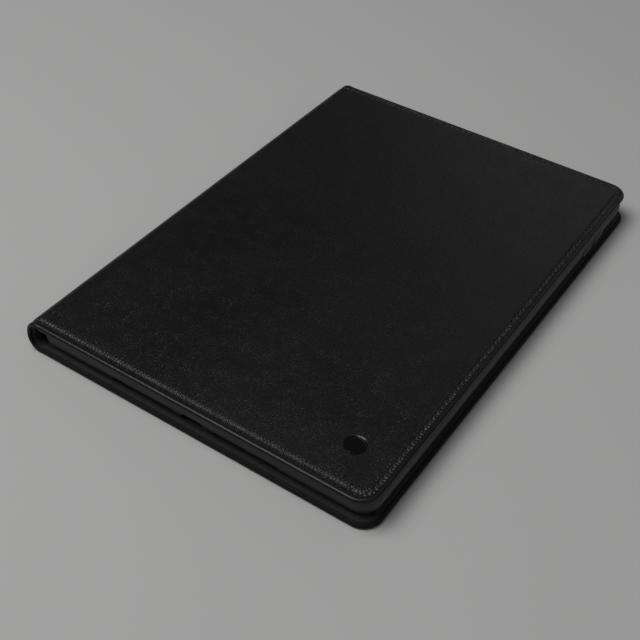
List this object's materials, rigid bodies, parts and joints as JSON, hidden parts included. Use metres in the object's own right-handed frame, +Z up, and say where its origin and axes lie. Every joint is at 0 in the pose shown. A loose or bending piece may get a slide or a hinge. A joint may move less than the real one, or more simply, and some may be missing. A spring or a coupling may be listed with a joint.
{
  "type": "tablet folio case",
  "caption": "Folio case for a tablet: moulded tray glued to a stitched leather back panel, rolled spine and a stitched leather cover that opens and folds right round.",
  "frame": {"origin": "middle of the closed case's outer box, at the underside it rests on", "axes": "+X from the spine to the free edge, +Y from the port end to the top end, +Z up from the back panel to the cover"},
  "size_m": [0.184, 0.2594, 0.017],
  "materials": {
    "leather": "pebble-grained black leather, satin",
    "lining": "dark microfibre",
    "board": "pressed fibre board",
    "foam": "thin soft foam sheet",
    "thread": "black waxed polyester thread",
    "tray": "smooth matt TPU",
    "pads": "smooth matt TPU",
    "glue": "cured adhesive sheet",
    "magnet": "nickel-plated"
  },
  "bodies": {
    "back": {"back_leather": "leather", "back_board_inner": "board", "back_board_outer": "board", "back_lining": "lining", "back_stitching": "thread", "tray_glue_sheet": "glue", "tray_floor": "tray", "tray_port_wall": "tray", "tray_top_wall": "tray", "tray_spine_wall": "tray", "tray_free_wall": "tray", "tray_corners": "tray"},
    "spine_lower": {"spine_leather_lower": "leather", "spine_stiffener_lower": "board", "spine_lining_lower": "lining", "spine_stitching_lower": "thread"},
    "spine_middle": {"spine_leather_middle": "leather", "spine_stiffener_middle": "board", "spine_lining_middle": "lining", "spine_stitching_middle": "thread"},
    "spine_upper": {"spine_leather_upper": "leather", "spine_stiffener_upper": "board", "spine_lining_upper": "lining", "spine_stitching_upper": "thread"},
    "front_cover": {"front_leather": "leather", "front_foam": "foam", "front_board": "board", "front_lining": "lining", "front_stitching": "thread", "stand_ribs": "lining", "closure_magnets": "magnet", "sleep_magnet": "magnet"},
    "volume_up": {"volume_up_pad": "pads"},
    "volume_down": {"volume_down_pad": "pads"},
    "power": {"power_pad": "pads"}
  },
  "joints": [
    {"name": "spine_opening", "type": "hinge", "parent": "back", "child": "spine_lower", "pos_m": [-0.08515, 0, 0], "axis": [0, -1, 0], "range_deg": [0, 35]},
    {"name": "spine_crease_low", "type": "hinge", "parent": "spine_lower", "child": "spine_middle", "pos_m": [-0.09126, 0, 0.00428], "axis": [0, -1, 0], "range_deg": [0, 55.5]},
    {"name": "spine_crease_high", "type": "hinge", "parent": "spine_middle", "child": "spine_upper", "pos_m": [-0.09126, 0, 0.01272], "axis": [0, -1, 0], "range_deg": [0, 55.5]},
    {"name": "cover_hinge", "type": "hinge", "parent": "spine_upper", "child": "front_cover", "pos_m": [-0.08515, 0, 0.017], "axis": [0, -1, 0], "range_deg": [0, 175]},
    {"name": "volume_up_press", "type": "slide", "parent": "back", "child": "volume_up", "axis": [-1, 0, 0], "range_m": [0, 0.0004], "stiffness_N_per_m": 2500},
    {"name": "volume_down_press", "type": "slide", "parent": "back", "child": "volume_down", "axis": [-1, 0, 0], "range_m": [0, 0.0004], "stiffness_N_per_m": 2500},
    {"name": "power_press", "type": "slide", "parent": "back", "child": "power", "axis": [0, -1, 0], "range_m": [0, 0.0004], "stiffness_N_per_m": 2500}
  ],
  "couplings": [
    {"joint": "spine_crease_low", "follows": "spine_opening", "ratio": 1.5714},
    {"joint": "spine_crease_high", "follows": "spine_opening", "ratio": 1.5714}
  ]
}
